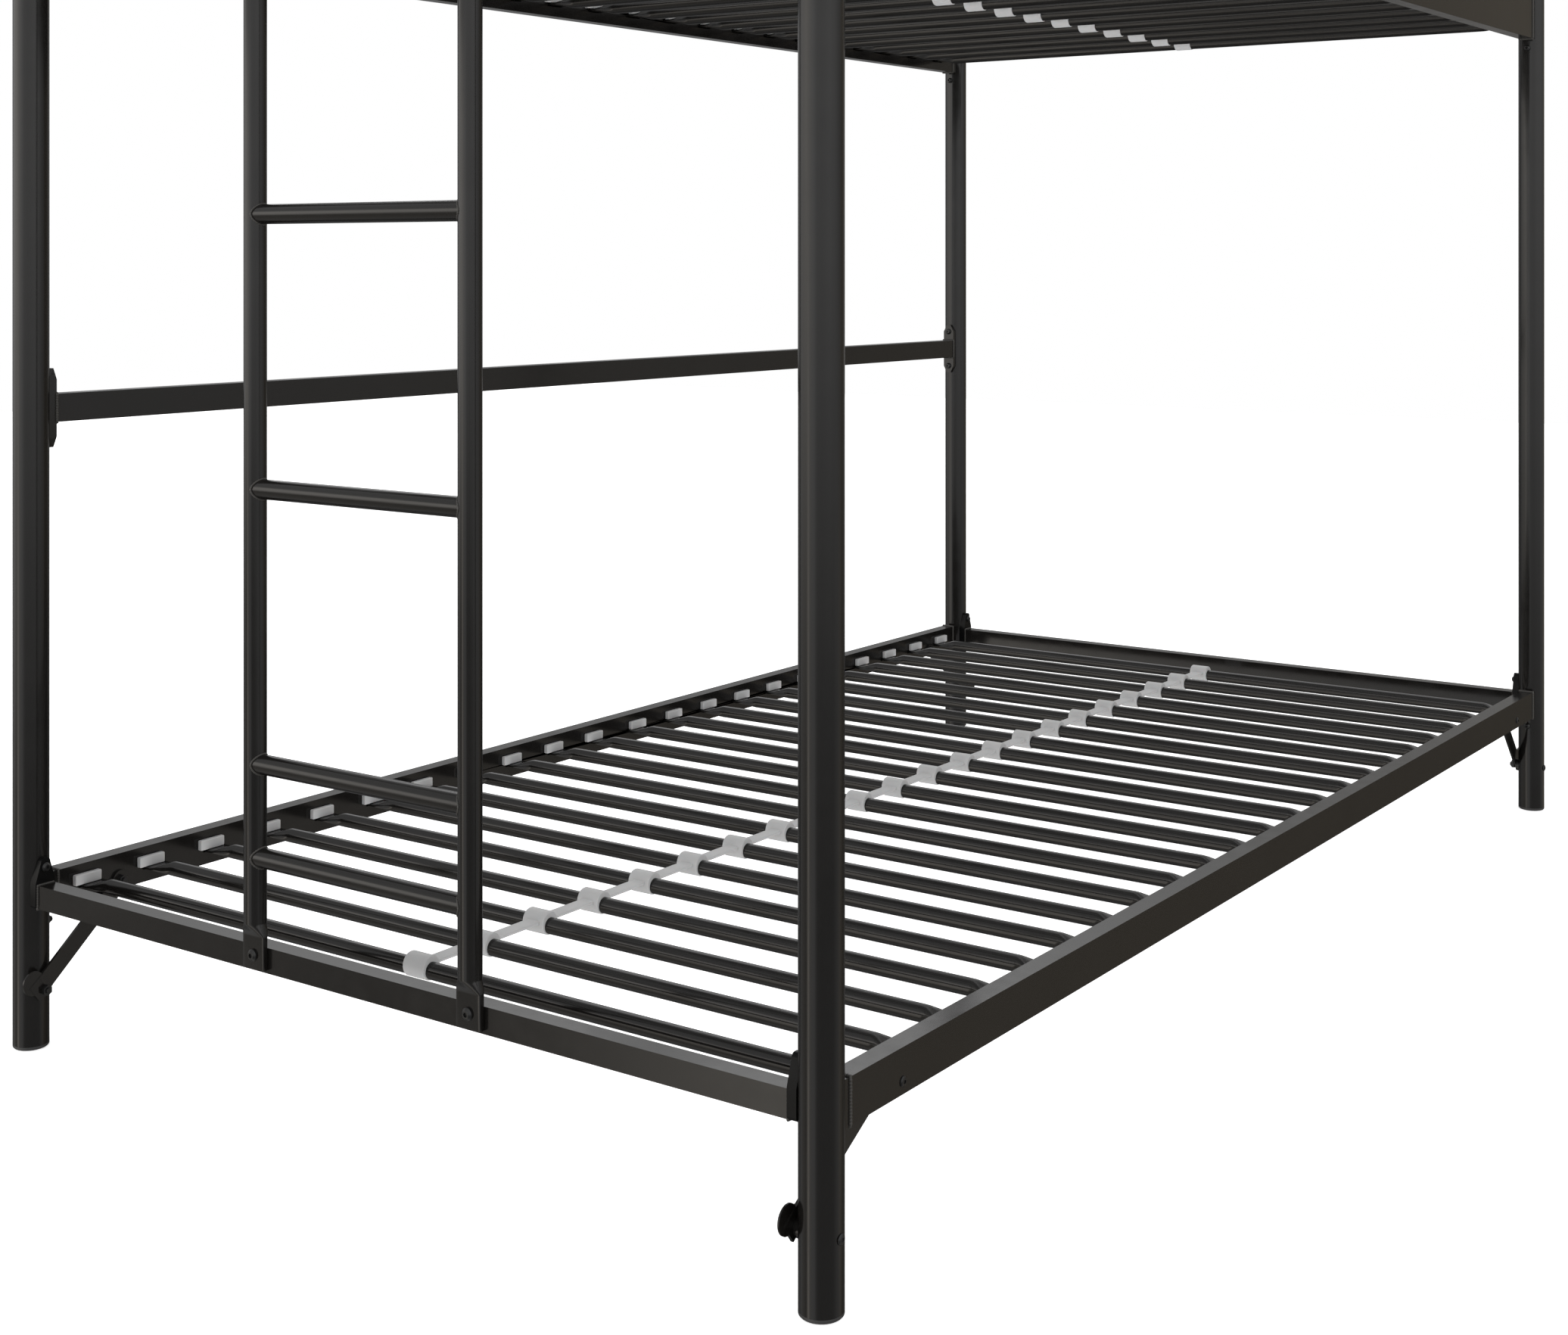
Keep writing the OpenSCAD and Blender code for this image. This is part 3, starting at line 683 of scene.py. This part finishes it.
def studio_band(world, source, levels):
    """A ramp of light round the horizon, as shares of the brightest level."""
    node = world.node_tree.nodes.new("ShaderNodeValToRGB")
    elements = node.color_ramp.elements
    stops = []
    for angle, level, warmth in levels:
        tint = tuple(level / STUDIO_PEAK * (1 + warmth * shift) for shift in WARM)
        stops.append((((angle - STUDIO_TURN + 180) % 360) / 360, tint))
    stops.sort()
    elements[0].position, tint = stops[0]
    elements[0].color = (*tint, 1)
    elements[1].position, tint = stops[-1]
    elements[1].color = (*tint, 1)
    for place, tint in stops[1:-1]:
        elements.new(place).color = (*tint, 1)
    world.node_tree.links.new(source, node.inputs["Fac"])
    return node.outputs["Color"]


def make_world():
    """A plain white surround that the steel sees as soft boxes and dark flags round the bed."""
    world = bpy.data.worlds.new("studio")
    world.use_nodes = True
    nodes, link = world.node_tree.nodes, world.node_tree.links.new
    back = nodes["Background"]
    out = nodes["World Output"]
    place = nodes.new("ShaderNodeTexCoord")
    round_about = nodes.new("ShaderNodeTexGradient")
    round_about.gradient_type = "RADIAL"
    link(place.outputs["Generated"], round_about.inputs["Vector"])
    high = studio_band(world, round_about.outputs["Fac"], STUDIO_HIGH)
    low = studio_band(world, round_about.outputs["Fac"], STUDIO_LOW)
    above = studio_band(world, round_about.outputs["Fac"], STUDIO_ABOVE)
    parts = nodes.new("ShaderNodeSeparateXYZ")
    link(place.outputs["Generated"], parts.inputs["Vector"])
    previous = low
    for start, end, level in ((*LOW_TO_HIGH, high), (*HIGH_TO_ABOVE, above)):
        rise = nodes.new("ShaderNodeMapRange")
        rise.interpolation_type = "SMOOTHSTEP"
        rise.inputs["From Min"].default_value = start
        rise.inputs["From Max"].default_value = end
        link(parts.outputs["Z"], rise.inputs["Value"])
        blend = nodes.new("ShaderNodeMix")
        blend.data_type = "RGBA"
        link(rise.outputs["Result"], blend.inputs[0])
        link(previous, blend.inputs[6])
        link(level, blend.inputs[7])
        previous = blend.outputs[2]
    link(previous, back.inputs["Color"])
    back.inputs["Strength"].default_value = STUDIO_PEAK
    path = nodes.new("ShaderNodeLightPath")
    seen = back.outputs["Background"]
    for ray, strength in (("Is Diffuse Ray", STUDIO_SOFT), ("Is Camera Ray", 1.0)):
        plain = nodes.new("ShaderNodeBackground")
        plain.inputs["Color"].default_value = (1, 1, 1, 1)
        plain.inputs["Strength"].default_value = strength
        swap = nodes.new("ShaderNodeMixShader")
        link(path.outputs[ray], swap.inputs[0])
        link(seen, swap.inputs[1])
        link(plain.outputs["Background"], swap.inputs[2])
        seen = swap.outputs["Shader"]
    link(seen, out.inputs["Surface"])
    bpy.context.scene.world = world


FLOOR_GLOW = 0.6
FLOOR_HALF = 9.0
FLOOR_WHITE = (0.93, 0.93, 0.93, 1)
FLOOR_DROP = 0.5 * MM


def make_floor():
    """A plain pale floor, softly lit from below as a studio table is."""
    half = FLOOR_HALF
    corners = [(-half, -half, 0), (half, -half, 0), (half, half, 0), (-half, half, 0)]
    mesh = bpy.data.meshes.new("floor")
    mesh.from_pydata(corners, [], [(0, 1, 2, 3)])
    material, tree, add = new_material("floor_white")
    shader = add("ShaderNodeBsdfPrincipled", Roughness=0.9)
    shader.inputs["Base Color"].default_value = FLOOR_WHITE
    shader.inputs["Emission Color"].default_value = (1, 1, 1, 1)
    shader.inputs["Emission Strength"].default_value = FLOOR_GLOW
    out = add("ShaderNodeOutputMaterial")
    tree.links.new(shader.outputs["BSDF"], out.inputs["Surface"])
    mesh.materials.append(material)
    floor = bpy.data.objects.new("floor", mesh)
    floor.location.z = -FLOOR_DROP
    floor.visible_glossy = False
    bpy.context.scene.collection.objects.link(floor)


CAMERA_SPOT = (1.4911, -2.4170, 0.8493)
CAMERA_TURN = math.radians(35.14)
CAMERA_LENS = 49.46
CAMERA_DROP = -0.2598


def make_camera():
    """A level camera whose frame is shifted down to the lower bunk."""
    data = bpy.data.cameras.new("camera")
    data.sensor_fit = "HORIZONTAL"
    data.sensor_width = 36
    data.lens = CAMERA_LENS
    data.shift_y = CAMERA_DROP
    data.clip_end = 60
    camera = bpy.data.objects.new("camera", data)
    camera.location = CAMERA_SPOT
    camera.rotation_euler = (math.radians(90), 0, CAMERA_TURN)
    bpy.context.scene.collection.objects.link(camera)
    bpy.context.scene.camera = camera


make_world()
make_floor()
make_camera()
area_light("key", (-2.6, -3.4, 3.6), LIGHT_TARGET, 2.4, 2.4, 60)
area_light("fill", (3.8, -1.0, 2.2), LIGHT_TARGET, 2.0, 2.6, 40)
bpy.context.scene.view_settings.view_transform = "Standard"
